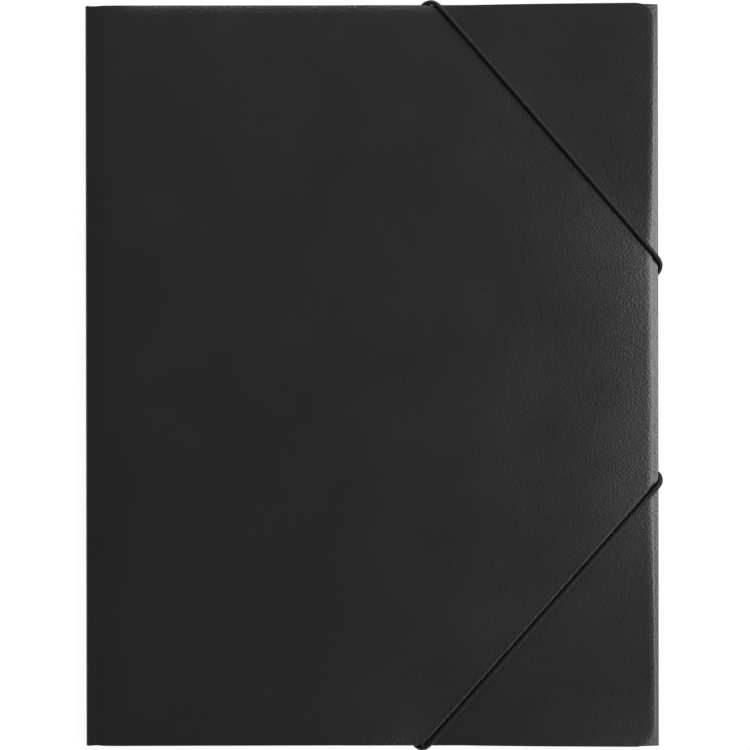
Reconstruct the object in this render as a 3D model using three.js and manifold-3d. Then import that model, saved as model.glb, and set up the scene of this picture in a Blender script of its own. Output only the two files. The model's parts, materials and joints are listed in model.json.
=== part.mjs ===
// A three flap folder of embossed polypropylene sheet, lying closed on its back with both corner elastics on.
// Millimetres, +Z up. x runs from the spine to the fore-edge, y from the bottom edge to the top edge.
import * as THREE from "three";
import Module from "manifold-3d";

// The sheets
const sheetThickness = 0.45;
const backWidth = 243.3; // spine edge to fore-edge fold
const backHeight = 315; // bottom fold to top fold
const coverForeInset = 2.4; // fore-edge fold to the cover's edge
const coverEndInset = 0.8; // top or bottom fold to the cover's edge
const coverCornerRadius = 8.3;

// Clearances
const restGap = 0.3; // between pieces that lie on each other
const hingeGap = 0.3; // between the two leaves at the spine crease
const cordRestGap = 0.4; // between a cord and the sheet that it presses on
const coverSlack = 0.6; // how far the cover bellies above the flaps

// Spine: two pressed creases on each leaf, and the flat part that starts after them
const firstCreaseAt = 8.0;
const secondCreaseAt = 16.5;
const spineFlatAt = 25;
const firstCreaseDrop = 0.65;
const secondCreaseDrop = 0.15;
const grooveWidth = 0.8;
const grooveDepth = 0.2;

// The back lies flat near the spine and rises over the cords behind it
const flatUntil = 62;
const raisedFrom = 122;

// Flaps
const sideFlapDepth = 76;
const sideFlapTaper = 5;
const sideFlapCornerRadius = 26;
const endFlapDepth = 79; // the top and the bottom flap
const endFlapTaper = 9;
const endFlapCornerRadius = 22;
const endFlapSpineMargin = 22; // spine edge to the flap's side
const endFlapForeMargin = 15.3; // fore-edge fold to the flap's side
const foreWedgeWidth = 8; // fore-edge crease to the score line on either leaf
const foreNoseRadius = 0.7; // outside radius of the fore-edge fold
const foreNoseLevel = 4.0;

// Elastic cords and the metal barbs crimped on their ends
const cordDiameter = 2.0;
const cordWrapRadius = 2.2; // bend of the cord's centre line round an edge
const cordEndBend = 1.3; // bend of the centre line below a hole
const holeDiameter = 4.0;
const holeInset = 12; // from the nearest edge
const barbLength = 12;
const barbWidth = 3.2;
const barbHeight = 1.05;
const barbWall = 0.3;
const barbCornerRadius = 0.5;
const upperElastic = {
  side: 1,
  endWrapAt: 146.0, // where it crosses the top edge, from the spine
  foreWrapAt: 45.9, // where it crosses the fore-edge, from mid height
  wrapShift: 3.9, // its sideways run while it turns a quarter round an edge
  endHoleAt: 131,
  foreHoleAt: 28.5,
  cornerRise: 3.4, // how far the free corner beyond it stands up
};
const lowerElastic = {
  side: -1,
  endWrapAt: 141.9,
  foreWrapAt: 44.1,
  wrapShift: 3.4,
  endHoleAt: 129.6,
  foreHoleAt: 28,
  cornerRise: 2.8,
};

// How the cover gives under the cords
const cornerRiseReach = 25;
const pinchDepthEnd = 0.9; // at the top and bottom edge
const pinchDepthFore = 0.3; // at the fore-edge
const pinchSpread = 18;
const pinchReach = 14;
const foreRollWidth = 9;
const foreRollDrop = 1.0;

// Facets
const gridStep = 10;
const foldSteps = 5;
const cornerSteps = 4;
const cordSides = 8;
const holeSides = 20;

// The cover's size
const coverWidth = backWidth - coverForeInset;
const coverHeight = backHeight - 2 * coverEndInset;

// Levels above the surface that it lies on
const halfHeight = backHeight / 2;
const backUnderside = cordDiameter + restGap;
const backInside = backUnderside + sheetThickness;
const barbUnderside = backInside + restGap;
const endFlapUnderside = barbUnderside + barbHeight + restGap;
const endFlapLift = endFlapUnderside - backUnderside; // underside of the back to underside of the flap
const sideFlapUnderside = endFlapUnderside + sheetThickness + restGap;
const sideFlapTop = sideFlapUnderside + sheetThickness;
const coverPlateau = sideFlapTop + restGap + coverSlack + sheetThickness;
const hingeLevel = coverPlateau / 2;
const cordLevel = cordDiameter / 2; // centre of the runs behind the back
const cordStandoff = cordDiameter / 2 + cordRestGap; // centre line above a sheet
const cordReach = cordDiameter / 2 + restGap; // centre line beyond an edge

const wasm = await Module();
wasm.setup();

function solidFrom(positions, triangles) {
  const mesh = new wasm.Mesh({
    numProp: 3,
    vertProperties: new Float32Array(positions),
    triVerts: new Uint32Array(triangles),
  });
  return new wasm.Manifold(mesh);
}

// A closed three.js geometry as a solid, with its vertices shared
function solidFromGeometry(geometry) {
  const flat = geometry.index ? geometry.toNonIndexed() : geometry;
  const position = flat.getAttribute("position");
  const seen = new Map();
  const positions = [];
  const triangles = [];
  for (let i = 0; i < position.count; i++) {
    const point = [position.getX(i), position.getY(i), position.getZ(i)];
    const key = point.map((value) => Math.round(value * 1e4)).join();
    if (!seen.has(key)) {
      seen.set(key, seen.size);
      positions.push(...point);
    }
    triangles.push(seen.get(key));
  }
  return solidFrom(positions, triangles);
}

function geometryFrom(solid) {
  const made = solid.getMesh();
  const geometry = new THREE.BufferGeometry();
  const positions = new Float32Array(made.numVert * 3);
  for (let i = 0; i < made.numVert; i++) {
    for (let k = 0; k < 3; k++) {
      positions[i * 3 + k] = made.vertProperties[i * made.numProp + k];
    }
  }
  geometry.setAttribute("position", new THREE.BufferAttribute(positions, 3));
  geometry.setIndex(new THREE.BufferAttribute(made.triVerts, 1));
  geometry.computeVertexNormals();
  return geometry;
}

// 0 before start, 1 after end, smooth between
function ease(value, start, end) {
  const t = Math.min(1, Math.max(0, (value - start) / (end - start)));
  return t * t * (3 - 2 * t);
}

// The height at x on a line through [x, height] pairs
function alongProfile(profile, x) {
  for (let k = 1; k < profile.length; k++) {
    const [fromX, fromHeight] = profile[k - 1];
    const [toX, toHeight] = profile[k];
    if (x <= toX) {
      return fromHeight + ((x - fromX) / (toX - fromX)) * (toHeight - fromHeight);
    }
  }
  return profile[profile.length - 1][1];
}

// Grid lines through every key value, with no step larger than the one given
function linesThrough(keys, largestStep) {
  const sorted = [...new Set(keys)].sort((a, b) => a - b);
  const lines = [sorted[0]];
  for (let k = 1; k < sorted.length; k++) {
    const span = sorted[k] - sorted[k - 1];
    const count = Math.ceil(span / largestStep - 1e-6);
    for (let n = 1; n <= count; n++) {
      lines.push(sorted[k - 1] + (span * n) / count);
    }
  }
  return lines;
}

// A sheet of even thickness made from grids of quads that share their edges.
// Each region has columns, rows and place(column, row), which gives the lower and the upper face of the unfolded sheet.
function foldedSheet(regions) {
  const numbers = new Map();
  const points = [];
  const quads = [];
  for (const region of regions) {
    const number = (column, row) => {
      const key = column.toFixed(4) + "|" + row.toFixed(4);
      if (!numbers.has(key)) {
        numbers.set(key, points.length);
        points.push(region.place(column, row));
      }
      return numbers.get(key);
    };
    const { columns, rows } = region;
    for (let i = 1; i < columns.length; i++) {
      for (let j = 1; j < rows.length; j++) {
        quads.push([
          number(columns[i - 1], rows[j - 1]),
          number(columns[i], rows[j - 1]),
          number(columns[i], rows[j]),
          number(columns[i - 1], rows[j]),
        ]);
      }
    }
  }
  const positions = points.flatMap(({ lower, upper }) => [...lower, ...upper]);
  const lowerOf = (n) => 2 * n;
  const upperOf = (n) => 2 * n + 1;
  const edges = new Set(quads.flatMap((q) => q.map((n, k) => n + ">" + q[(k + 1) % 4])));
  const triangles = [];
  for (const quad of quads) {
    const [a, b, c, d] = quad;
    triangles.push(upperOf(a), upperOf(b), upperOf(c), upperOf(a), upperOf(c), upperOf(d));
    triangles.push(lowerOf(a), lowerOf(c), lowerOf(b), lowerOf(a), lowerOf(d), lowerOf(c));
    for (let k = 0; k < 4; k++) {
      const from = quad[k];
      const to = quad[(k + 1) % 4];
      if (edges.has(to + ">" + from)) continue;
      triangles.push(upperOf(to), upperOf(from), lowerOf(from));
      triangles.push(upperOf(to), lowerOf(from), lowerOf(to));
    }
  }
  return solidFrom(positions, triangles);
}

// The outer face of either leaf near the spine, as a height above or below the hinge line
const spineProfile = [
  [0, hingeGap / 2 + sheetThickness],
  [firstCreaseAt, hingeLevel - firstCreaseDrop],
  [secondCreaseAt, hingeLevel - secondCreaseDrop],
  [spineFlatAt, hingeLevel],
];

function creaseGroove(x) {
  const away = Math.min(Math.abs(x - firstCreaseAt), Math.abs(x - secondCreaseAt));
  return grooveDepth * Math.max(0, 1 - away / (grooveWidth / 2));
}

function spineLines() {
  const lines = [0, spineFlatAt];
  for (const crease of [firstCreaseAt, secondCreaseAt]) {
    lines.push(crease - grooveWidth / 2, crease, crease + grooveWidth / 2);
  }
  return lines;
}

// The straight run of a cord over the cover, seen from above
function cordLine(elastic) {
  const from = new THREE.Vector2(
    elastic.endWrapAt + elastic.wrapShift,
    elastic.side * (halfHeight + cordReach - cordWrapRadius),
  );
  const to = new THREE.Vector2(
    backWidth + cordReach - cordWrapRadius,
    elastic.side * (elastic.foreWrapAt + elastic.wrapShift),
  );
  return { from, to };
}

// How far a point of the cover lies beyond a cord, towards the free corner
function beyondCord(elastic, x, y) {
  const { from, to } = cordLine(elastic);
  const along = to.clone().sub(from).normalize();
  const outward = new THREE.Vector2(-along.y * elastic.side, along.x * elastic.side);
  return outward.dot(new THREE.Vector2(x, y).sub(from));
}

function cornerLift(x, y) {
  let lift = 0;
  for (const elastic of [upperElastic, lowerElastic]) {
    const beyond = Math.max(0, beyondCord(elastic, x, y));
    lift += elastic.cornerRise * (1 - Math.exp(-((beyond / cornerRiseReach) ** 2)));
  }
  return lift;
}

function cordPinch(x, y) {
  let pinch = 0;
  for (const elastic of [upperElastic, lowerElastic]) {
    const { from, to } = cordLine(elastic);
    const endInward = coverHeight / 2 - elastic.side * y;
    const foreInward = coverWidth - x;
    const endAway = (x - from.x) / pinchSpread;
    const foreAway = (y - to.y) / pinchSpread;
    pinch += pinchDepthEnd * Math.exp(-(endAway ** 2) - endInward / pinchReach);
    pinch += pinchDepthFore * Math.exp(-(foreAway ** 2) - foreInward / pinchReach);
  }
  return pinch;
}

function coverTop(x, y) {
  const roll = Math.max(0, (x - coverWidth + foreRollWidth) / foreRollWidth);
  const level = hingeLevel + alongProfile(spineProfile, x) - foreRollDrop * roll * roll;
  return level + cornerLift(x, y) - cordPinch(x, y);
}

function backBottom(x) {
  if (x < spineFlatAt) return hingeLevel - alongProfile(spineProfile, x);
  return backUnderside * ease(x, flatUntil, raisedFrom);
}

// The cover: one leaf, creased twice beside the spine, with round corners at its fore-edge
function frontCover() {
  const foreRollFrom = coverWidth - foreRollWidth;
  const columns = linesThrough(
    [...spineLines(), foreRollFrom, (foreRollFrom + coverWidth) / 2, coverWidth],
    gridStep,
  );
  const rows = linesThrough([-coverHeight / 2, 0, coverHeight / 2], gridStep);
  const place = (x, y) => {
    const top = coverTop(x, y);
    return { lower: [x, y, top - sheetThickness], upper: [x, y, top - creaseGroove(x)] };
  };
  const sheet = foldedSheet([{ columns, rows, place }]);
  const outline = new THREE.Shape();
  const half = coverHeight / 2;
  const inner = coverWidth - coverCornerRadius;
  outline.moveTo(-1, -half);
  outline.lineTo(inner, -half);
  outline.absarc(inner, coverCornerRadius - half, coverCornerRadius, -Math.PI / 2, 0, false);
  outline.absarc(inner, half - coverCornerRadius, coverCornerRadius, 0, Math.PI / 2, false);
  outline.lineTo(-1, half);
  outline.closePath();
  const depth = coverPlateau * 4;
  const prism = new THREE.ExtrudeGeometry(outline, { depth, bevelEnabled: false, curveSegments: 8 });
  prism.translate(0, 0, -coverPlateau);
  return geometryFrom(sheet.intersect(solidFromGeometry(prism)));
}

// How far a flap's side has come in at each distance from its fold: a taper, then a round corner
function flapRows(depth, taper, cornerRadius, start, largestStep) {
  const straightEnd = depth - cornerRadius;
  const rows = linesThrough([start, straightEnd], largestStep).map((at) => ({ at, round: 0 }));
  for (let n = 1; n <= cornerSteps; n++) {
    const angle = (n / cornerSteps) * (Math.PI / 2);
    rows.push({
      at: straightEnd + cornerRadius * Math.sin(angle),
      round: cornerRadius * (1 - Math.cos(angle)),
    });
  }
  return rows.map(({ at, round }) => ({ at, inset: round + (taper * (at - start)) / (depth - start) }));
}

// The fold of a top or bottom flap: half round, from the back's edge to the flap
function endFlapRegion(side, columns) {
  const foldRadius = (endFlapLift + sheetThickness) / 2;
  const innerRadius = foldRadius - sheetThickness;
  const foldCentre = halfHeight - foldRadius;
  const foldLength = Math.PI * foldRadius;
  const flat = flapRows(endFlapDepth, endFlapTaper, endFlapCornerRadius, foldRadius, gridStep * 1.5);
  const steps = [];
  for (let n = 0; n <= foldSteps; n++) {
    steps.push({ row: (foldLength * n) / foldSteps, turn: (Math.PI * n) / foldSteps, inset: 0 });
  }
  for (const { at, inset } of flat.slice(1)) {
    steps.push({ row: foldLength + at, turn: Math.PI, inset, back: at - foldRadius });
  }
  const middle = (columns[0] + columns[columns.length - 1]) / 2;
  const halfSpan = columns[columns.length - 1] - middle;
  const place = (column, row) => {
    const away = side * row - foldCentre;
    const step = steps.find((s) => Math.abs(s.row - away) < 1e-6);
    const x = middle + ((column - middle) * (halfSpan - step.inset)) / halfSpan;
    const level = backBottom(x) + foldRadius;
    const at = (radius) => [
      x,
      side * (foldCentre + radius * Math.sin(step.turn) - (step.back ?? 0)),
      level - radius * Math.cos(step.turn),
    ];
    return { lower: at(foldRadius), upper: at(innerRadius) };
  };
  const rows = steps.map((s) => side * (foldCentre + s.row)).sort((a, b) => a - b);
  return { columns, rows, place };
}

// The fore-edge: the back rises to the crease, turns over it and becomes the side flap
function sideFlapRegion(rowLines) {
  const scoreAt = backWidth - foreWedgeWidth;
  const noseAt = backWidth - foreNoseRadius;
  const noseInner = foreNoseRadius - sheetThickness;
  const lowerSlope = Math.atan2(foreNoseLevel - foreNoseRadius - backUnderside, noseAt - scoreAt);
  const upperSlope = Math.atan2(sideFlapTop - foreNoseLevel - foreNoseRadius, noseAt - scoreAt);
  const profile = [{ lower: [scoreAt, backUnderside], upper: [scoreAt, backInside] }];
  for (let n = 0; n <= foldSteps; n++) {
    const start = -Math.PI / 2 + lowerSlope;
    const end = Math.PI / 2 - upperSlope;
    const turn = start + ((end - start) * n) / foldSteps;
    const at = (radius) => [noseAt + radius * Math.cos(turn), foreNoseLevel + radius * Math.sin(turn)];
    profile.push({ lower: at(foreNoseRadius), upper: at(noseInner) });
  }
  const rowsOut = flapRows(sideFlapDepth, sideFlapTaper, sideFlapCornerRadius, foreWedgeWidth, gridStep * 2);
  for (const { at, inset } of rowsOut) {
    const x = backWidth - at;
    profile.push({ lower: [x, sideFlapTop], upper: [x, sideFlapUnderside], inset });
  }
  const columns = profile.map((_, k) => scoreAt + k);
  const place = (column, row) => {
    const { lower, upper, inset = 0 } = profile[Math.round(column - scoreAt)];
    const y = (row * (halfHeight - inset)) / halfHeight;
    return { lower: [lower[0], y, lower[1]], upper: [upper[0], y, upper[1]] };
  };
  return { columns, rows: rowLines, place };
}

// The back with its three flaps: one sheet, folded along the top, bottom and fore-edge, with four punched holes
function folderBack() {
  const foldStart = halfHeight - (endFlapLift + sheetThickness) / 2;
  const flapFrom = endFlapSpineMargin;
  const flapTo = backWidth - endFlapForeMargin;
  const scoreAt = backWidth - foreWedgeWidth;
  const keys = [...spineLines(), flapFrom, flapTo, flatUntil, raisedFrom, scoreAt];
  const columns = linesThrough(keys, gridStep * 1.5);
  const rows = linesThrough([-halfHeight, -foldStart, 0, foldStart, halfHeight], gridStep * 4);
  const place = (x, y) => {
    const bottom = backBottom(x);
    return { lower: [x, y, bottom + creaseGroove(x)], upper: [x, y, bottom + sheetThickness] };
  };
  const panelRows = rows.filter((y) => Math.abs(y) <= foldStart + 1e-6);
  const flapColumns = columns.filter((x) => x > flapFrom - 1e-6 && x < flapTo + 1e-6);
  const regions = [{ columns, rows: panelRows, place }];
  for (const side of [1, -1]) {
    const margin = rows.filter((y) => side * y >= foldStart - 1e-6);
    regions.push({ columns: columns.filter((x) => x < flapFrom + 1e-6), rows: margin, place });
    regions.push({ columns: columns.filter((x) => x > flapTo - 1e-6), rows: margin, place });
    regions.push(endFlapRegion(side, flapColumns));
  }
  regions.push(sideFlapRegion(rows));
  let sheet = foldedSheet(regions);
  for (const { x, y } of holes()) {
    const punch = new THREE.CylinderGeometry(holeDiameter / 2, holeDiameter / 2, backUnderside * 2, holeSides);
    punch.rotateX(Math.PI / 2);
    punch.translate(x, y, backInside - backUnderside / 2);
    sheet = sheet.subtract(solidFromGeometry(punch));
  }
  return geometryFrom(sheet);
}

// The punched holes that the cords end in
function holes() {
  return [upperElastic, lowerElastic].flatMap((elastic) => [
    { x: elastic.endHoleAt, y: elastic.side * (halfHeight - holeInset) },
    { x: backWidth - holeInset, y: elastic.side * elastic.foreHoleAt },
  ]);
}

// A curve that is sampled evenly between its points, so that close points give close steps
class CordCurve extends THREE.CatmullRomCurve3 {
  getUtoTmapping(u) {
    return u;
  }
}

// From inside a barb down through its hole and level towards a point behind the back
function cordEnd(hole, towards) {
  const heading = new THREE.Vector2(towards.x - hole.x, towards.y - hole.y).normalize();
  const tip = barbUnderside + barbHeight - barbWall - restGap;
  const points = [new THREE.Vector3(hole.x, hole.y, tip)];
  for (const degrees of [0, 30, 60, 90]) {
    const angle = THREE.MathUtils.degToRad(degrees);
    const out = cordEndBend * (1 - Math.cos(angle));
    const level = cordLevel + cordEndBend * (1 - Math.sin(angle));
    points.push(new THREE.Vector3(hole.x + heading.x * out, hole.y + heading.y * out, level));
  }
  const bendEnd = points[points.length - 1];
  for (const share of [0.1, 0.5, 0.9]) {
    points.push(bendEnd.clone().lerp(towards, share));
  }
  return points;
}

// Half round an edge, from behind the back to the top of the cover
function cordWrap(topLevel, wrapShift, at) {
  const points = [];
  const bend = cordWrapRadius;
  const rise = topLevel - cordLevel - 2 * bend;
  const length = Math.PI * bend + rise;
  for (const degrees of [0, 30, 60, 90]) {
    const angle = THREE.MathUtils.degToRad(degrees);
    points.push({
      out: cordReach - bend + bend * Math.sin(angle),
      level: cordLevel + bend * (1 - Math.cos(angle)),
      travel: (bend * angle) / length,
    });
  }
  for (const degrees of [90, 60, 30, 0]) {
    const angle = THREE.MathUtils.degToRad(degrees);
    points.push({
      out: cordReach - bend + bend * Math.sin(angle),
      level: topLevel - bend * (1 - Math.cos(angle)),
      travel: 1 - (bend * angle) / length,
    });
  }
  return points.map(({ out, level, travel }) => at(out, level, (2 * travel - 1) * wrapShift));
}

// One elastic: barb, hole, behind the back, over the edge, across the cover's corner and back to the other hole
function elasticRoute(elastic) {
  const { side, endWrapAt, foreWrapAt, wrapShift } = elastic;
  const { from, to } = cordLine(elastic);
  const topLevel = (x, y) => {
    const onX = Math.min(x, coverWidth);
    const onY = side * Math.min(side * y, coverHeight / 2);
    return coverTop(onX, onY) + cordStandoff;
  };
  const endWrap = cordWrap(topLevel(from.x, from.y), wrapShift, (out, level, shift) => {
    return new THREE.Vector3(endWrapAt + shift, side * (halfHeight + out), level);
  });
  const foreWrap = cordWrap(topLevel(to.x, to.y), wrapShift, (out, level, shift) => {
    return new THREE.Vector3(backWidth + out, side * (foreWrapAt + shift), level);
  });
  const endHole = new THREE.Vector2(elastic.endHoleAt, side * (halfHeight - holeInset));
  const foreHole = new THREE.Vector2(backWidth - holeInset, side * elastic.foreHoleAt);
  const across = [];
  for (const share of [0.03, 0.08, 0.16, 0.3, 0.45, 0.6, 0.74, 0.84, 0.9, 0.94, 0.98]) {
    const at = from.clone().lerp(to, share);
    across.push(new THREE.Vector3(at.x, at.y, topLevel(at.x, at.y)));
  }
  return [
    ...cordEnd(endHole, endWrap[0]),
    ...endWrap,
    ...across,
    ...foreWrap.reverse(),
    ...cordEnd(foreHole, foreWrap[foreWrap.length - 1]).reverse(),
  ];
}

function elasticCord(elastic) {
  const section = new THREE.Shape();
  for (let n = 0; n < cordSides; n++) {
    const angle = (2 * Math.PI * n) / cordSides;
    const x = (cordDiameter / 2) * Math.cos(angle);
    const y = (cordDiameter / 2) * Math.sin(angle);
    if (n === 0) section.moveTo(x, y);
    else section.lineTo(x, y);
  }
  section.closePath();
  const points = elasticRoute(elastic);
  const extrudePath = new CordCurve(points, false, "centripetal");
  return new THREE.ExtrudeGeometry(section, { steps: 2 * (points.length - 1), extrudePath });
}

// A barb: a short metal channel, open downwards, crimped over the end of a cord
function barb() {
  const half = barbWidth / 2;
  const inner = half - barbWall;
  const corner = barbCornerRadius;
  const section = new THREE.Shape();
  section.moveTo(-half, 0);
  section.lineTo(-inner, 0);
  section.lineTo(-inner, barbHeight - barbWall);
  section.lineTo(inner, barbHeight - barbWall);
  section.lineTo(inner, 0);
  section.lineTo(half, 0);
  section.absarc(half - corner, barbHeight - corner, corner, 0, Math.PI / 2, false);
  section.absarc(corner - half, barbHeight - corner, corner, Math.PI / 2, Math.PI, false);
  section.closePath();
  const bar = new THREE.ExtrudeGeometry(section, {
    depth: barbLength,
    bevelEnabled: false,
    curveSegments: 4,
  });
  bar.translate(0, 0, -barbLength / 2);
  bar.rotateX(Math.PI / 2);
  return bar;
}

const polypropylene = new THREE.MeshStandardMaterial({ color: 0x252525, roughness: 0.45, metalness: 0 });
const elasticTextile = new THREE.MeshStandardMaterial({ color: 0x1f1f18, roughness: 0.8, metalness: 0 });
const barbSteel = new THREE.MeshStandardMaterial({ color: 0xb9bcc0, roughness: 0.35, metalness: 1 });

const folder = new THREE.Group();

function place(name, geometry, material) {
  const mesh = new THREE.Mesh(geometry, material);
  mesh.name = name;
  folder.add(mesh);
  return mesh;
}

place("folder_back", folderBack(), polypropylene);
place("front_cover", frontCover(), polypropylene);
for (const [name, elastic] of [["upper", upperElastic], ["lower", lowerElastic]]) {
  place(name + "_elastic", elasticCord(elastic), elasticTextile);
  const endBarb = place(name + "_elastic_end_barb", barb(), barbSteel);
  endBarb.position.set(elastic.endHoleAt, elastic.side * (halfHeight - holeInset), barbUnderside);
  endBarb.rotation.z = Math.PI / 2;
  const sideBarb = place(name + "_elastic_side_barb", barb(), barbSteel);
  sideBarb.position.set(backWidth - holeInset, elastic.side * elastic.foreHoleAt, barbUnderside);
}

// The origin is under the middle of the whole, cords included
const root = new THREE.Group();
folder.position.x = -(backWidth + cordReach + cordDiameter / 2) / 2;
root.add(folder);

export default root;
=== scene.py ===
import bpy
import json
import math
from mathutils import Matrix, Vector


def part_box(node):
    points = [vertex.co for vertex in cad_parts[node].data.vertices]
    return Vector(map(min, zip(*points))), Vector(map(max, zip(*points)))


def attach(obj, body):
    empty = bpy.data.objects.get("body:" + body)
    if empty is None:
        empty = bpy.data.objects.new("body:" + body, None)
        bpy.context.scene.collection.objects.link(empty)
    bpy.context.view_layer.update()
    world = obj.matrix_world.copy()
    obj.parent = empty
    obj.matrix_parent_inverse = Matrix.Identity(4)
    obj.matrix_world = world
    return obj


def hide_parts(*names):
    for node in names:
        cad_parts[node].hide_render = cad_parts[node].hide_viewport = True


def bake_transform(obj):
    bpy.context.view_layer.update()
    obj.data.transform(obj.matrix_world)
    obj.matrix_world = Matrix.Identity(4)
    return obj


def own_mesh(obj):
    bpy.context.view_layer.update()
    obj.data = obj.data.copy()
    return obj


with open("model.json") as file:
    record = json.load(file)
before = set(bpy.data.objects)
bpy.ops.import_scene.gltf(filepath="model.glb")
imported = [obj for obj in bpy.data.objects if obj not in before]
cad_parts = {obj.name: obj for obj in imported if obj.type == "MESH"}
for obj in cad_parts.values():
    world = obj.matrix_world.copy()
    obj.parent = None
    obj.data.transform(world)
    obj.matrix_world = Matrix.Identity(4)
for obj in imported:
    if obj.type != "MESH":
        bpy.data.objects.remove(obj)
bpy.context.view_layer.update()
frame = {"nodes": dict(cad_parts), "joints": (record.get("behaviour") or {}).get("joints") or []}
print("frame loaded")

# The folder lies closed on its back. Lengths are in millimetres from the spine (x), from mid height (y)
# and above the table (z), until a mesh is made: then they become metres in the frame's own place.
mm = 0.001
backLow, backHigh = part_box("folder_back")
coverLow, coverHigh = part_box("front_cover")
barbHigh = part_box("upper_elastic_end_barb")[1]
hinge = next(joint for joint in frame["joints"] if joint["name"] == "cover_hinge")
spineX = backLow.x
hingeLevel = hinge["pos_m"][2] / mm

folder = {
    "backWidth": 243.3,
    "backHeight": (backHigh.y - backLow.y) / mm,
    "coverWidth": (coverHigh.x - spineX) / mm,
    "coverHeight": (coverHigh.y - coverLow.y) / mm,
    "coverCornerRadius": 8.3,
    "sheetThickness": 0.45,
    "rimRadius": 0.09,          # the die leaves the cut edges slightly round
    "firstCreaseAt": 8.0,
    "secondCreaseAt": 16.5,
    "spineFlatAt": 25.0,
    "firstCreaseDrop": 0.65,
    "secondCreaseDrop": 0.15,
    "leafEndHeight": 0.6,       # outer face above or below the hinge line, at the spine
    "spineFoldAt": 0.45,        # where the leaves hand over to the spine fold
    "creaseWidth": 0.7,
    "creaseDepth": 0.035,
    "sharpFrom": 50.0,          # degrees
}
halfHeight = folder["backHeight"] / 2

# Distances between mesh lines, in millimetres, and steps round bends, in degrees
spacing = {"leaf": 1.2, "crease": 0.1, "cover": 2.4, "coverFore": 0.5, "back": 2.5, "flaps": 3.0,
           "margin": 0.7, "cornerTurn": 6, "cordTurn": 10, "flapTurn": 15}
keyDigits = 4                   # mesh points that agree to these decimals are one


def place(x, y, z):
    return Vector((spineX + x * mm, y * mm, z * mm))


def ease(value, start, end):
    t = min(1.0, max(0.0, (value - start) / (end - start)))
    return t * t * (3 - 2 * t)


def spacedLines(*spans):
    lines = [spans[0][0]]
    for start, end, step in spans:
        count = max(1, math.ceil((end - start) / step - 1e-6))
        lines += [start + (end - start) * n / count for n in range(1, count + 1)]
    return lines


# Mesh spans from the spine fold over both creases
def leafSpans():
    first, second, narrow = folder["firstCreaseAt"], folder["secondCreaseAt"], folder["creaseWidth"] / 2
    plain, fine = spacing["leaf"], spacing["crease"]
    return [(folder["spineFoldAt"], first - narrow, plain), (first - narrow, first + narrow, fine),
            (first + narrow, second - narrow, plain), (second - narrow, second + narrow, fine)]


def quarterTurn(step):
    return [math.radians(degrees) for degrees in range(0, 91, step)]


# A leaf's outer face above or below the hinge line, from the spine over the creases to where it is flat
def spineHeight(x):
    stops = [
        (0.0, folder["leafEndHeight"]),
        (folder["firstCreaseAt"], hingeLevel - folder["firstCreaseDrop"]),
        (folder["secondCreaseAt"], hingeLevel - folder["secondCreaseDrop"]),
        (folder["spineFlatAt"], hingeLevel),
    ]
    for (x0, z0), (x1, z1) in zip(stops, stops[1:]):
        if x <= x1:
            return z0 + (z1 - z0) * (x - x0) / (x1 - x0)
    return hingeLevel


def creaseGroove(x):
    away = min(abs(x - folder["firstCreaseAt"]), abs(x - folder["secondCreaseAt"]))
    return folder["creaseDepth"] * (1 - ease(away, 0, folder["creaseWidth"] / 2))


def newPiece(name, mesh, body, slotName, material, *replaced):
    piece = bpy.data.objects.new(name, mesh)
    bpy.context.scene.collection.objects.link(piece)
    mesh.materials.append(material)
    if body:
        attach(piece, body)
    if replaced:
        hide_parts(*replaced)
    return piece


def finishedMesh(name, points, faces, sharpFrom):
    mesh = bpy.data.meshes.new(name)
    mesh.from_pydata(points, [], faces)
    mesh.update()
    mesh.shade_smooth()
    mesh.set_sharp_from_angle(angle=math.radians(sharpFrom))
    return mesh


# One sheet with both faces and a rounded rim, from regions of mesh lines that share their borders
def sheetMesh(name, regions):
    rim = folder["rimRadius"]
    numbers, lower, upper, quads = {}, [], [], []

    def number(region, column, row):
        key = (round(column, keyDigits), round(row, keyDigits))
        if key not in numbers:
            numbers[key] = len(lower)
            low, high = region["place"](column, row)
            lower.append(place(*low))
            upper.append(place(*high))
        return numbers[key]

    for region in regions:
        columns, rows = region["columns"], region["rows"]
        grid = [[number(region, c, r) for r in rows] for c in columns]
        for i in range(1, len(columns)):
            for j in range(1, len(rows)):
                quads.append((grid[i - 1][j - 1], grid[i][j - 1], grid[i][j], grid[i - 1][j]))

    edges = set()
    for quad in quads:
        edges.update(zip(quad, quad[1:] + quad[:1]))
    rimEdges = [(a, b) for a, b in edges if (b, a) not in edges]
    outward = {}
    for a, b in rimEdges:
        along = (upper[b] - upper[a]).normalized()
        for n in (a, b):
            out = along.cross(upper[n] - lower[n]).normalized()
            outward[n] = outward.get(n, Vector((0, 0, 0))) + out
    count = len(lower)
    points = lower + upper
    rings = {}
    for n, out in outward.items():
        out = out.normalized() * rim * mm
        normal = (upper[n] - lower[n]).normalized() * rim * mm
        rings[n] = len(points)
        points.append(upper[n] - normal)
        points.append(lower[n] + normal)
        points[n] = lower[n] - out
        points[n + count] = upper[n] - out
    faces = [tuple(n + count for n in quad) for quad in quads]
    faces += [tuple(reversed(quad)) for quad in quads]
    for a, b in rimEdges:
        ladderA = (a + count, rings[a], rings[a] + 1, a)
        ladderB = (b + count, rings[b], rings[b] + 1, b)
        for k in range(3):
            faces.append((ladderB[k], ladderA[k], ladderA[k + 1], ladderB[k + 1]))
    return finishedMesh(name, points, faces, folder["sharpFrom"])


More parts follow.
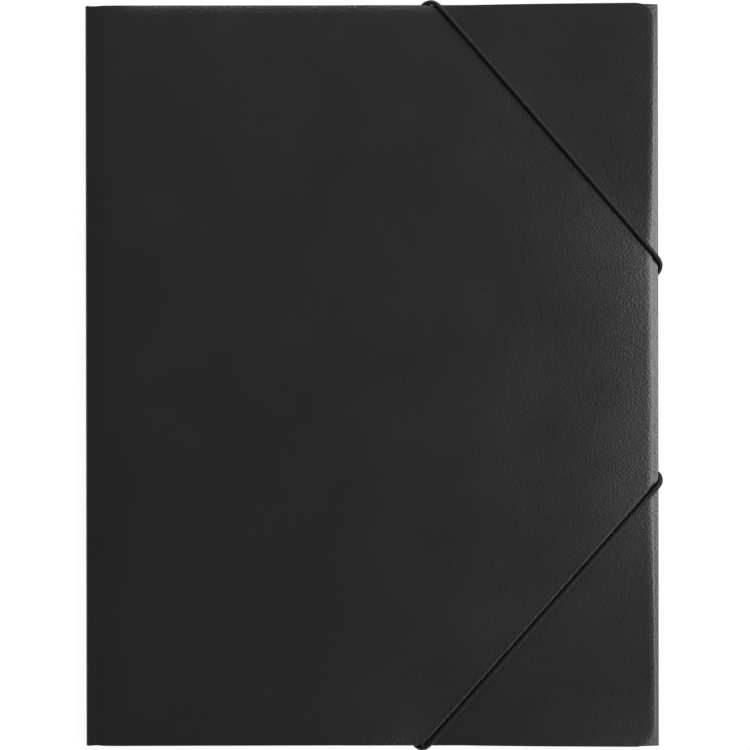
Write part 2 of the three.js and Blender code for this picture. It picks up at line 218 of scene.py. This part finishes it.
cord = {
    "diameter": 2.0,
    "wrapRadius": 2.2,
    "upperBend": 2.8,           # gentler where it leaves the cover
    "endBend": 1.3,
    "reach": 1.3,               # centre line beyond an edge, at the straight run's ends
    "edgeReach": 0.92,          # the same at the wrap, where the cord bites on the edge
    "pressGap": 0.03,           # between the cord and the sheet that it presses on
    "tipInset": 0.6,            # its end stands this far below the barb's top
    "acrossSteps": 120,
    "upper": {"side": 1, "endWrapAt": 146.0, "foreWrapAt": 45.9, "wrapShift": 3.9,
              "endHoleAt": 131.0, "foreHoleAt": 28.5, "cornerRise": 3.4},
    "lower": {"side": -1, "endWrapAt": 141.9, "foreWrapAt": 44.1, "wrapShift": 3.4,
              "endHoleAt": 129.6, "foreHoleAt": 28.0, "cornerRise": 2.8},
}
elastics = (cord["upper"], cord["lower"])


# Ends of the cord's straight run across the corner, seen from above
def cordLine(elastic):
    out = cord["reach"] - cord["wrapRadius"]
    shift = elastic["wrapShift"]
    start = Vector((elastic["endWrapAt"] + shift, elastic["side"] * (halfHeight + out)))
    end = Vector((folder["backWidth"] + out, elastic["side"] * (elastic["foreWrapAt"] + shift)))
    return start, end


cover = {
    "cornerRiseReach": 45.0,    # the corners lift slowly beyond the cords
    "cornerRisePower": 1.5,
    "cornerRiseFull": 1.2,
    "pinchDepthEnd": 0.9,
    "pinchDepthFore": 0.3,
    "pinchSpread": 18.0,
    "pinchReach": 14.0,
    "foreFallFrom": 185.0,      # from here the cover falls gently towards the fore-edge
    "foreFall": 0.85,
    "foreFallFades": (10.0, 60.0),  # away from the cords, towards the corners
    "foreRollWidth": 3.0,       # the die presses the cut edge down
    "foreRollDrop": 0.22,
    "endRollWidth": 5.0,        # the top and bottom edges too, less so beyond the cords
    "endRollDrop": 0.45,
    "endRollFades": (130.0, 165.0),
    "endRollBeyond": 0.25,
    "foreStrip": 16.0,          # finer mesh beside the fore-edge
}


# How far the cover's cut edges roll down, round its corners too
def edgeRoll(x, y):
    radius = folder["coverCornerRadius"]
    foreInward, endInward = folder["coverWidth"] - x, folder["coverHeight"] / 2 - abs(y)
    fade = 1 - (1 - cover["endRollBeyond"]) * ease(x, *cover["endRollFades"])
    endDrop = cover["endRollDrop"] * fade * ease(x, folder["firstCreaseAt"], folder["spineFlatAt"])
    foreShare, inward = 1.0, foreInward
    if foreInward < radius and endInward < radius:
        out = math.hypot(radius - foreInward, radius - endInward)
        inward = radius - out
        foreShare = ((radius - foreInward) / max(out, 1e-6)) ** 2
    elif endInward < foreInward:
        foreShare, inward = 0.0, endInward
    foreRoll = max(0.0, 1 - inward / cover["foreRollWidth"]) ** 2
    endRoll = max(0.0, 1 - inward / cover["endRollWidth"]) ** 2
    return foreShare * cover["foreRollDrop"] * foreRoll + (1 - foreShare) * endDrop * endRoll


# The cover's upper face: pressed down by the cords, lifted beyond them, falling to the fore-edge
def coverTop(x, y):
    fall = max(0.0, (x - cover["foreFallFrom"]) / (folder["coverWidth"] - cover["foreFallFrom"]))
    drop = cover["foreFall"] * fall ** 3
    z = hingeLevel + spineHeight(x) - edgeRoll(x, y)
    for elastic in elastics:
        start, end = cordLine(elastic)
        along = (end - start).normalized()
        outward = Vector((-along.y, along.x)) * elastic["side"]
        beyond = max(0.0, outward.dot(Vector((x, y)) - start))
        rise = 1 - math.exp(-(beyond / cover["cornerRiseReach"]) ** cover["cornerRisePower"])
        z += cover["cornerRiseFull"] * elastic["cornerRise"] * rise
        drop *= 1 - ease(beyond, *cover["foreFallFades"])
        inward = folder["coverHeight"] / 2 - elastic["side"] * y
        endAway = (x - start.x) / cover["pinchSpread"]
        foreAway = (y - end.y) / cover["pinchSpread"]
        foreInward = folder["coverWidth"] - x
        z -= cover["pinchDepthEnd"] * math.exp(-endAway ** 2 - inward / cover["pinchReach"])
        z -= cover["pinchDepthFore"] * math.exp(-foreAway ** 2 - foreInward / cover["pinchReach"])
    return z - drop


def coverMesh():
    wide, tall, radius = folder["coverWidth"], folder["coverHeight"] / 2, folder["coverCornerRadius"]
    leaf, foreStart = leafSpans(), wide - cover["foreStrip"]
    columns = spacedLines(*leaf, (leaf[-1][1], foreStart, spacing["cover"]),
                          (foreStart, wide, spacing["coverFore"]))
    corner = [tall - radius + radius * math.sin(turn) for turn in quarterTurn(spacing["cornerTurn"])[1:]]
    middle = spacedLines((radius - tall, tall - radius, spacing["cover"]))
    rows = [-y for y in reversed(corner)] + middle + corner
    warpFrom = wide - 3 * radius    # from here the columns give way to the rounded corners

    def placeAt(column, y):
        over = max(0.0, abs(y) - (tall - radius))
        inset = radius - math.sqrt(max(0.0, radius * radius - over * over))
        x = column
        if column > warpFrom:
            x = warpFrom + (column - warpFrom) * (wide - inset - warpFrom) / (wide - warpFrom)
        z = coverTop(x, y)
        return (x, y, z - folder["sheetThickness"]), (x, y, z - creaseGroove(x))

    return sheetMesh("coverSheet", [{"columns": columns, "rows": rows, "place": placeAt}])


back = {
    "flatUntil": 62.0,
    "raisedFrom": 122.0,
    "underside": 2.3,           # above the table, over the cords behind it
    "barbClearance": 0.3,       # between the barbs and the flap over them
    "sideFlapDepth": 76.0,
    "sideFlapTaper": 5.0,
    "sideFlapCornerRadius": 26.0,
    "endFlapDepth": 79.0,
    "endFlapTaper": 9.0,
    "endFlapCornerRadius": 22.0,
    "endFlapSpineMargin": 22.0,
    "endFlapForeMargin": 15.3,
    "foreWedgeWidth": 8.0,
    "foreNoseRadius": 0.7,
    "foreNoseLevel": 4.0,
    "foreNoseSteps": 12,
    "holeDiameter": 4.0,
    "holeInset": 12.0,
}
back["inside"] = back["underside"] + folder["sheetThickness"]
back["endFlapLift"] = barbHigh.z / mm + back["barbClearance"] - back["underside"]
back["endFlapRadius"] = (back["endFlapLift"] + folder["sheetThickness"]) / 2
back["sideFlapTop"] = backHigh.z / mm


# Where the cord goes through the back: near the end edge and near the fore-edge
def holesOf(elastic):
    side = elastic["side"]
    return ((elastic["endHoleAt"], side * (halfHeight - back["holeInset"])),
            (folder["backWidth"] - back["holeInset"], side * elastic["foreHoleAt"]))


# The back's lower face: down on the table beside the spine, then raised over the cords
def backBottom(x):
    if x < folder["spineFlatAt"]:
        return hingeLevel - spineHeight(x)
    return back["underside"] * ease(x, back["flatUntil"], back["raisedFrom"])


# Lines across a flap from its fold to its edge, each with how far the tapered, rounded side stands in
def flapRows(depth, taper, radius, start):
    rows = [(at, 0.0) for at in spacedLines((start, depth - radius, spacing["flaps"]))]
    for turn in quarterTurn(spacing["cornerTurn"])[1:]:
        rows.append((depth - radius + radius * math.sin(turn), radius * (1 - math.cos(turn))))
    return [(at, inset + taper * (at - start) / (depth - start)) for at, inset in rows]


def endFlapRegion(side, columns):
    outer = back["endFlapRadius"]
    inner = outer - folder["sheetThickness"]
    centre = halfHeight - outer
    length = math.pi * outer
    steps = {}
    for degrees in range(0, 181, spacing["flapTurn"]):
        steps[round(length * degrees / 180, keyDigits)] = (math.radians(degrees), 0.0, 0.0)
    rows = flapRows(back["endFlapDepth"], back["endFlapTaper"], back["endFlapCornerRadius"], outer)
    for at, inset in rows[1:]:
        steps[round(length + at, keyDigits)] = (math.pi, inset, at - outer)
    middle = (columns[0] + columns[-1]) / 2
    span = columns[-1] - middle

    def placeAt(column, row):
        turn, inset, gone = steps[round(side * row - centre, keyDigits)]
        x = middle + (column - middle) * (span - inset) / span
        level = backBottom(x) + outer
        low, high = [(x, side * (centre + r * math.sin(turn) - gone), level - r * math.cos(turn))
                     for r in (outer, inner)]
        return low, high

    return {"columns": columns, "rows": sorted(side * (centre + s) for s in steps), "place": placeAt}


def sideFlapRegion(rows):
    width, radius = folder["backWidth"], back["foreNoseRadius"]
    score, nose = width - back["foreWedgeWidth"], width - radius
    level = back["foreNoseLevel"]
    inner = radius - folder["sheetThickness"]
    below = math.atan2(level - radius - back["underside"], nose - score)
    above = math.atan2(back["sideFlapTop"] - level - radius, nose - score)
    under = back["sideFlapTop"] - folder["sheetThickness"]
    bends = back["foreNoseSteps"]
    profile = [((score, back["underside"]), (score, back["inside"]), 0.0)]
    for n in range(bends + 1):
        turn = -math.pi / 2 + below + (math.pi - below - above) * n / bends
        low, high = [(nose + r * math.cos(turn), level + r * math.sin(turn)) for r in (radius, inner)]
        profile.append((low, high, 0.0))
    flap = flapRows(back["sideFlapDepth"], back["sideFlapTaper"], back["sideFlapCornerRadius"],
                    back["foreWedgeWidth"])
    for at, inset in flap:
        profile.append(((width - at, back["sideFlapTop"]), (width - at, under), inset))

    def placeAt(column, row):
        low, high, inset = profile[round(column - score)]
        y = row * (halfHeight - inset) / halfHeight
        return (low[0], y, low[1]), (high[0], y, high[1])

    return {"columns": [score + n for n in range(len(profile))], "rows": rows, "place": placeAt}


def backMesh():
    outer = back["endFlapRadius"]
    foldStart = round(halfHeight - outer, keyDigits)
    flapFrom, flapTo = back["endFlapSpineMargin"], folder["backWidth"] - back["endFlapForeMargin"]
    score = folder["backWidth"] - back["foreWedgeWidth"]
    leaf, panel, margin = leafSpans(), spacing["back"], spacing["margin"]
    columns = spacedLines(*leaf, (leaf[-1][1], flapFrom, panel), (flapFrom, flapTo, spacing["flaps"]),
                          (flapTo, score, panel))
    rows = spacedLines((-halfHeight, -foldStart, margin), (-foldStart, foldStart, spacing["flaps"]),
                       (foldStart, halfHeight, margin))

    def placeAt(x, y):
        z = backBottom(x)
        return (x, y, z + creaseGroove(x)), (x, y, z + folder["sheetThickness"])

    near = 1e-3                 # more than rounding, less than any step
    spineColumns = [x for x in columns if x < flapFrom + near]
    flapColumns = [x for x in columns if flapFrom - near < x < flapTo + near]
    foreColumns = [x for x in columns if x > flapTo - near]
    panelRows = [y for y in rows if abs(y) < foldStart + near]
    regions = [{"columns": columns, "rows": panelRows, "place": placeAt}]
    for side in (1, -1):
        marginRows = [y for y in rows if side * y > foldStart - near]
        for marginColumns in (spineColumns, foreColumns):
            regions.append({"columns": marginColumns, "rows": marginRows, "place": placeAt})
        regions.append(endFlapRegion(side, flapColumns))
    regions.append(sideFlapRegion(rows))
    return sheetMesh("backSheet", regions)


fold = {
    "slopeOver": 2.0,           # mm, the leaves' slope beside the fold is taken over this
    "turns": 16,
    "rowStep": 0.02,            # of half the height
}


def spineFoldMesh():
    start = folder["spineFoldAt"]
    height = spineHeight(start)
    slope = math.atan2(spineHeight(fold["slopeOver"]) - spineHeight(0.0), fold["slopeOver"])
    outer = height / math.cos(slope)
    inner = outer - folder["sheetThickness"]
    centre = start + outer * math.sin(slope)
    turns = fold["turns"]
    full = math.pi - 2 * slope

    def placeAt(column, row):
        share = column / turns
        turn = -math.pi / 2 - slope - full * share
        tall = halfHeight + (folder["coverHeight"] / 2 - halfHeight) * share
        low, high = [(centre + r * math.cos(turn), row * tall, hingeLevel + r * math.sin(turn))
                     for r in (outer, inner)]
        return low, high

    # rows run from the top edge down, so that the outside faces away from the sheet inside the fold
    rows = spacedLines((-1.0, 1.0, fold["rowStep"]))
    return sheetMesh("spineFold", [{"columns": list(range(turns, -1, -1)), "rows": rows, "place": placeAt}])


# The cord's middle line: out of one hole, round the end edge, across the corner, round the fore-edge and
# into the other hole
def elasticRoute(elastic):
    side = elastic["side"]
    start, end = cordLine(elastic)
    low = cord["diameter"] / 2
    standoff = low + cord["pressGap"]
    bendTurns = quarterTurn(spacing["cordTurn"])

    def above(x, y):
        y = side * min(side * y, folder["coverHeight"] / 2)
        return coverTop(min(x, folder["coverWidth"]), y) + standoff

    # from under the back round its edge up to the cover: one bend below, a gentler one above
    def wrap(topLevel, slope, at):
        bend = cord["wrapRadius"]
        reach = cord["edgeReach"]
        upperBend = cord["upperBend"]
        length = math.pi / 2 * (bend + upperBend) + topLevel - low - bend - upperBend
        points = []
        for turn in bendTurns:
            points.append((reach - bend + bend * math.sin(turn), low + bend * (1 - math.cos(turn)),
                           bend * turn / length))
        for turn in reversed(bendTurns):
            points.append((reach - upperBend + upperBend * math.sin(turn),
                           topLevel - upperBend * (1 - math.cos(turn)), 1 - upperBend * turn / length))
        lead = slope * (cord["reach"] - bend - reach + upperBend)
        return [at(out, level, (2 * travel - 1) * elastic["wrapShift"] + lead * travel * travel)
                for out, level, travel in points]

    def intoHole(hole, towards):
        heading = Vector((towards[0] - hole[0], towards[1] - hole[1])).normalized()
        tip = barbHigh.z / mm - cord["tipInset"]
        points = [(hole[0], hole[1], tip)]
        for turn in bendTurns:
            out = cord["endBend"] * (1 - math.cos(turn))
            points.append((hole[0] + heading.x * out, hole[1] + heading.y * out,
                           low + cord["endBend"] * (1 - math.sin(turn))))
        return points

    run = end - start
    endWrap = wrap(above(*start), abs(run.x / run.y), lambda out, level, shift:
                   (elastic["endWrapAt"] + shift, side * (halfHeight + out), level))
    foreWrap = wrap(above(*end), abs(run.y / run.x), lambda out, level, shift:
                    (folder["backWidth"] + out, side * (elastic["foreWrapAt"] + shift), level))
    across = []
    for n in range(1, cord["acrossSteps"]):
        at = start.lerp(end, n / cord["acrossSteps"])
        if min(halfHeight - side * at.y, folder["backWidth"] - at.x) > cord["upperBend"]:
            across.append((at.x, at.y, above(at.x, at.y)))
    endHole, foreHole = holesOf(elastic)
    route = intoHole(endHole, endWrap[0]) + endWrap + across + foreWrap[::-1]
    route += intoHole(foreHole, foreWrap[0])[::-1]
    return [Vector(point) for point in route]


def evenSteps(route, step):
    lengths = [0.0]
    for a, b in zip(route, route[1:]):
        lengths.append(lengths[-1] + (b - a).length)
    count = round(lengths[-1] / step)
    points, k = [], 0
    for n in range(count + 1):
        target = lengths[-1] * n / count
        while k < len(route) - 2 and lengths[k + 1] < target:
            k += 1
        share = (target - lengths[k]) / max(1e-9, lengths[k + 1] - lengths[k])
        points.append(route[k].lerp(route[k + 1], share))
    return points


def smoothed(points, reach):
    result = []
    for n in range(len(points)):
        near = min(reach, n, len(points) - 1 - n)
        group = points[n - near:n + near + 1]
        result.append(sum(group, Vector((0, 0, 0))) / len(group))
    return result


braid = {
    "step": 0.25,               # mm from ring to ring along the cord
    "smoothing": 3,             # rings on either side
    "around": 32,
    "carriers": 8,
    "pitch": 7.5,               # mm for a yarn's full turn
    "relief": 0.035,            # of the radius
    "sharpFrom": 60.0,          # degrees
}


# A tube along the smoothed middle line, its surface woven in and out
def elasticMesh(name, elastic):
    points = smoothed(evenSteps(elasticRoute(elastic), braid["step"]), braid["smoothing"])
    radius = cord["diameter"] / 2 / (1 + braid["relief"])
    vertices, faces = [], []
    normal = Vector((1, 0, 0))
    sides = braid["around"]
    for n, point in enumerate(points):
        ahead = points[min(n + 1, len(points) - 1)] - points[max(n - 1, 0)]
        ahead.normalize()
        normal = (normal - ahead * normal.dot(ahead)).normalized()
        other = ahead.cross(normal)
        twist = 2 * math.pi * n * braid["step"] / braid["pitch"]
        for k in range(sides):
            turn = 2 * math.pi * k / sides
            left, right = turn + twist, turn - twist
            weave = math.cos(braid["carriers"] * left) * math.cos(braid["carriers"] * right)
            out = radius * (1 + braid["relief"] * weave)
            spot = point + (normal * math.cos(turn) + other * math.sin(turn)) * out
            vertices.append(place(*spot))
    rings = len(points)
    for n in range(rings - 1):
        for k in range(sides):
            a, b = n * sides + k, n * sides + (k + 1) % sides
            faces.append((a, b, b + sides, a + sides))
    faces.append(tuple(reversed(range(sides))))
    faces.append(tuple((rings - 1) * sides + k for k in range(sides)))
    return finishedMesh(name, vertices, faces, braid["sharpFrom"])


def linear(hexColour):
    channels = [int(hexColour[k:k + 2], 16) / 255 for k in (1, 3, 5)]
    return [c / 12.92 if c <= 0.04045 else ((c + 0.055) / 1.055) ** 2.4 for c in channels] + [1.0]


def addNode(tree, kind, settings=None, inputs=None, links=None):
    node = tree.nodes.new(kind)
    for name, value in (settings or {}).items():
        setattr(node, name, value)
    for name, value in (inputs or {}).items():
        node.inputs[name].default_value = value
    for name, source in (links or {}).items():
        tree.links.new(source, node.inputs[name])
    return node


def newMaterial(name):
    material = bpy.data.materials.new(name)
    material.use_nodes = True
    tree = material.node_tree
    where = addNode(tree, "ShaderNodeTexCoord").outputs["Object"]
    return material, tree, tree.nodes["Principled BSDF"], where


def addNoise(tree, where, size, detail):
    noise = addNode(tree, "ShaderNodeTexNoise", inputs={"Scale": 1 / (size * mm), "Detail": detail},
                    links={"Vector": where})
    return noise.outputs["Fac"]


# Extruded polypropylene sheet, embossed by a sand grained roller: black, with a soft broad gloss that
# breaks into fine grains where it catches a light
sheetFinish = {
    "colour": "#0c0c0c",
    "paler": "#111111",
    "roughness": 0.27,
    "ior": 1.49,
    "grain": 0.95,              # mm, drawn coarser than the real 0.5, which would be too fine to show
    "fineGrain": 0.5,           # mm, between them
    "fineShare": 0.12,
    "grainHeight": 0.09,        # mm
    "cloud": 40.0,              # mm, slow changes of gloss over the sheet
    "cloudSpread": 0.03,
    "pressFrom": 1.0,           # mm from the lower cord, where the sheet dips to it
    "pressTo": 2.6,
    "pressDepth": 0.23,
}


def polypropyleneEmbossed(name, pressedBy=None):
    material, tree, shader, where = newMaterial(name)
    shader.inputs["IOR"].default_value = sheetFinish["ior"]
    coarse = addNoise(tree, where, sheetFinish["grain"], 1.0)
    fine = addNoise(tree, where, sheetFinish["fineGrain"], 1.0)
    cloud = addNoise(tree, where, sheetFinish["cloud"], 3.0)
    both = addNode(tree, "ShaderNodeMath", {"operation": "MULTIPLY_ADD"}, {1: sheetFinish["fineShare"]}, {
        0: fine, 2: coarse})
    bump = addNode(tree, "ShaderNodeBump", inputs={
        "Distance": sheetFinish["grainHeight"] * mm}, links={"Height": both.outputs[0]})
    if pressedBy:
        start, end = cordLine(pressedBy)
        along = (end - start).normalized()
        inward = Vector((along.y, -along.x, 0)) * pressedBy["side"]
        away = addNode(tree, "ShaderNodeVectorMath", {"operation": "SUBTRACT"}, {
            1: place(start.x, start.y, 0)}, {0: where})
        across = addNode(tree, "ShaderNodeVectorMath", {"operation": "DOT_PRODUCT"}, {1: inward}, {
            0: away.outputs[0]})
        dip = addNode(tree, "ShaderNodeMapRange", {"interpolation_type": "SMOOTHSTEP"}, {
            "From Min": sheetFinish["pressFrom"] * mm, "From Max": sheetFinish["pressTo"] * mm},
            {"Value": across.outputs["Value"]})
        flank = addNode(tree, "ShaderNodeBump", inputs={"Distance": sheetFinish["pressDepth"] * mm}, links={
            "Height": dip.outputs["Result"]})
        tree.links.new(flank.outputs["Normal"], bump.inputs["Normal"])
    # most of a noise lies between 0.3 and 0.7
    gloss = addNode(tree, "ShaderNodeMapRange", inputs={
        "From Min": 0.3, "From Max": 0.7, "To Min": sheetFinish["roughness"] - sheetFinish["cloudSpread"],
        "To Max": sheetFinish["roughness"] + sheetFinish["cloudSpread"]}, links={"Value": cloud})
    shade = addNode(tree, "ShaderNodeMix", {"data_type": "RGBA"}, {
        6: linear(sheetFinish["colour"]), 7: linear(sheetFinish["paler"])}, {0: coarse})
    tree.links.new(bump.outputs["Normal"], shader.inputs["Normal"])
    tree.links.new(gloss.outputs["Result"], shader.inputs["Roughness"])
    tree.links.new(shade.outputs[2], shader.inputs["Base Color"])
    return material


# Polyester yarn braided over rubber: dull black with an olive cast, and a soft sheen on the yarns
elasticFinish = {"colour": "#080806", "paler": "#100f0b", "roughness": 0.6, "ior": 1.3, "sheen": 0.03,
                 "sheenColour": "#8c8a74", "yarn": 0.2, "yarnHeight": 0.05, "bump": 0.6}   # yarn in mm


def polyesterBraided():
    material, tree, shader, where = newMaterial("polyesterBraided")
    shader.inputs["IOR"].default_value = elasticFinish["ior"]
    shader.inputs["Roughness"].default_value = elasticFinish["roughness"]
    shader.inputs["Sheen Weight"].default_value = elasticFinish["sheen"]
    shader.inputs["Sheen Tint"].default_value = linear(elasticFinish["sheenColour"])
    yarn = addNoise(tree, where, elasticFinish["yarn"], 2.0)
    shade = addNode(tree, "ShaderNodeMix", {"data_type": "RGBA"}, {
        6: linear(elasticFinish["colour"]), 7: linear(elasticFinish["paler"])}, {0: yarn})
    bump = addNode(tree, "ShaderNodeBump", inputs={
        "Strength": elasticFinish["bump"], "Distance": elasticFinish["yarnHeight"] * mm},
        links={"Height": yarn})
    tree.links.new(shade.outputs[2], shader.inputs["Base Color"])
    tree.links.new(bump.outputs["Normal"], shader.inputs["Normal"])
    return material


# Zinc plated steel strip, cut and crimped: bright, with a fine mottle that spreads its gloss
steelFinish = {"colour": "#b9bcc0", "roughness": 0.32, "smoother": 0.08, "rougher": 0.12,
               "mottle": 0.15, "mottleHeight": 0.01, "bump": 0.3}                      # mottle in mm


def steelCrimped():
    material, tree, shader, where = newMaterial("steelCrimped")
    shader.inputs["Metallic"].default_value = 1.0
    shader.inputs["Base Color"].default_value = linear(steelFinish["colour"])
    mottle = addNoise(tree, where, steelFinish["mottle"], 2.0)
    rough = addNode(tree, "ShaderNodeMapRange", inputs={
        "To Min": steelFinish["roughness"] - steelFinish["smoother"],
        "To Max": steelFinish["roughness"] + steelFinish["rougher"]}, links={"Value": mottle})
    bump = addNode(tree, "ShaderNodeBump", inputs={
        "Strength": steelFinish["bump"], "Distance": steelFinish["mottleHeight"] * mm},
        links={"Height": mottle})
    tree.links.new(rough.outputs["Result"], shader.inputs["Roughness"])
    tree.links.new(bump.outputs["Normal"], shader.inputs["Normal"])
    return material


polypropylene = polypropyleneEmbossed("polypropyleneEmbossed")
pressedPolypropylene = polypropyleneEmbossed("polypropylenePressed", cord["lower"])
braidedCord = polyesterBraided()
crimpedSteel = steelCrimped()
print("materials made")

newPiece("coverSheet", coverMesh(), "cover", "sheet", pressedPolypropylene, "front_cover")
print("cover made")

punchTool = {"sides": 48, "depth": 2.0, "below": 0.2}   # mm, goes right through the sheet
backSheet = newPiece("backSheet", backMesh(), "back", "sheet", polypropylene, "folder_back")
for elastic in elastics:
    for x, y in holesOf(elastic):
        bpy.ops.mesh.primitive_cylinder_add(
            vertices=punchTool["sides"], radius=back["holeDiameter"] / 2 * mm, depth=punchTool["depth"] * mm,
            location=place(x, y, back["inside"] - punchTool["below"]))
        punch = bpy.context.object
        cut = backSheet.modifiers.new("punch", "BOOLEAN")
        cut.operation = "DIFFERENCE"
        cut.object = punch
        bpy.context.view_layer.objects.active = backSheet
        bpy.ops.object.modifier_apply(modifier=cut.name)
        bpy.data.objects.remove(punch)
print("back and flaps made")

spineFold = newPiece("spineFold", spineFoldMesh(), None, "sheet", polypropylene)
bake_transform(spineFold)
print("spine fold made")

for name in ("upper", "lower"):
    piece = newPiece(name + "Elastic", elasticMesh(name + "Elastic", cord[name]), "back", "elastic",
                     braidedCord, name + "_elastic")
    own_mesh(piece)
print("elastics made")

for nodeName, node in frame["nodes"].items():
    if nodeName.endswith("barb"):
        for slot in node.material_slots:
            slot.material = crimpedSteel

# A white floor that keeps a little of the folder's own soft shadow, and a sky that is white at the horizon
# and dim above it
studio = {"floorSize": 6.0, "floorLevel": -0.0004, "paper": "#f4f4f4", "shadowShare": 0.08,
          "worldAround": 1.0, "worldAbove": 0.28, "dimsFrom": 0.02, "dimsTo": 0.30}

bpy.ops.mesh.primitive_plane_add(size=studio["floorSize"], location=(0, 0, studio["floorLevel"]))
floor = bpy.context.object
floor.name = "floor"
floorPaint = bpy.data.materials.new("paperFloor")
floorPaint.use_nodes = True
tree = floorPaint.node_tree
tree.nodes.clear()
rays = addNode(tree, "ShaderNodeLightPath")
seen = addNode(tree, "ShaderNodeMath", {"operation": "MAXIMUM"}, links={
    0: rays.outputs["Is Camera Ray"], 1: rays.outputs["Is Glossy Ray"]})
seenToo = addNode(tree, "ShaderNodeMath", {"operation": "MAXIMUM"}, links={
    0: seen.outputs[0], 1: rays.outputs["Is Transmission Ray"]})
paper = addNode(tree, "ShaderNodeBsdfDiffuse", inputs={"Color": linear(studio["paper"])})
glow = addNode(tree, "ShaderNodeEmission", inputs={"Color": (1, 1, 1, 1), "Strength": 1.0})
share = addNode(tree, "ShaderNodeMath", {"operation": "MULTIPLY"}, {1: 1 - studio["shadowShare"]},
                {0: seenToo.outputs[0]})
mixed = addNode(tree, "ShaderNodeMixShader", links={
    "Fac": share.outputs[0], 1: paper.outputs[0], 2: glow.outputs[0]})
addNode(tree, "ShaderNodeOutputMaterial", links={"Surface": mixed.outputs[0]})
floor.data.materials.append(floorPaint)

world = bpy.data.worlds.new("studio")
bpy.context.scene.world = world
world.use_nodes = True
tree = world.node_tree
tree.nodes.clear()
rays = addNode(tree, "ShaderNodeLightPath")
direction = addNode(tree, "ShaderNodeTexCoord").outputs["Generated"]
parts = addNode(tree, "ShaderNodeSeparateXYZ", links={"Vector": direction})
level = addNode(tree, "ShaderNodeMapRange", {"interpolation_type": "SMOOTHSTEP"}, {
    "From Min": studio["dimsFrom"], "From Max": studio["dimsTo"],
    "To Min": studio["worldAround"], "To Max": studio["worldAbove"]}, {"Value": parts.outputs["Z"]})
strength = addNode(tree, "ShaderNodeMix", {"data_type": "FLOAT"}, {3: 1.0}, {
    0: rays.outputs["Is Camera Ray"], 2: level.outputs["Result"]})
sky = addNode(tree, "ShaderNodeBackground", inputs={"Color": (1, 1, 1, 1)},
              links={"Strength": strength.outputs[0]})
addNode(tree, "ShaderNodeOutputWorld", links={"Surface": sky.outputs[0]})

# A soft light high on the right, a long lower one beside the fore-edge, one behind the top edge and a weak
# one off the lower right corner
lamps = {
    "right": {"at": (0.75, 0.12, 0.875), "size": (0.54, 0.46), "power": 6.4},
    "side": {"at": (1.05, 0.0, 0.62), "size": (1.8, 0.45), "power": 18},
    "back": {"at": (-0.1, 1.0, 0.55), "size": (0.9, 0.5), "power": 14},
    "front": {"at": (0.58, -0.54, 0.92), "size": (0.8, 0.22), "power": 2.1},
}
for name, lamp in lamps.items():
    light = bpy.data.lights.new(name + "Lamp", "AREA")
    light.shape = "RECTANGLE"
    light.size, light.size_y = lamp["size"]
    light.energy = lamp["power"]
    holder = bpy.data.objects.new(name + "Lamp", light)
    bpy.context.scene.collection.objects.link(holder)
    holder.location = lamp["at"]
    holder.rotation_euler = (Vector((0, 0, 0)) - Vector(lamp["at"])).to_track_quat("-Z", "Y").to_euler()
    holder.visible_camera = False

# Straight above the folder, a hair to the left and turned by the little that the photograph shows
view = {"at": (121.46, 0.13, 600.0), "turn": (0.00004, -0.00227, -0.00156), "lens": 67.3, "sensor": 36}
camera = bpy.data.cameras.new("camera")
camera.lens = view["lens"]
camera.sensor_width = view["sensor"]
eye = bpy.data.objects.new("camera", camera)
bpy.context.scene.collection.objects.link(eye)
eye.location = place(*view["at"])
eye.rotation_euler = view["turn"]
bpy.context.scene.camera = eye
bpy.context.scene.view_settings.view_transform = "Standard"
print("studio made")
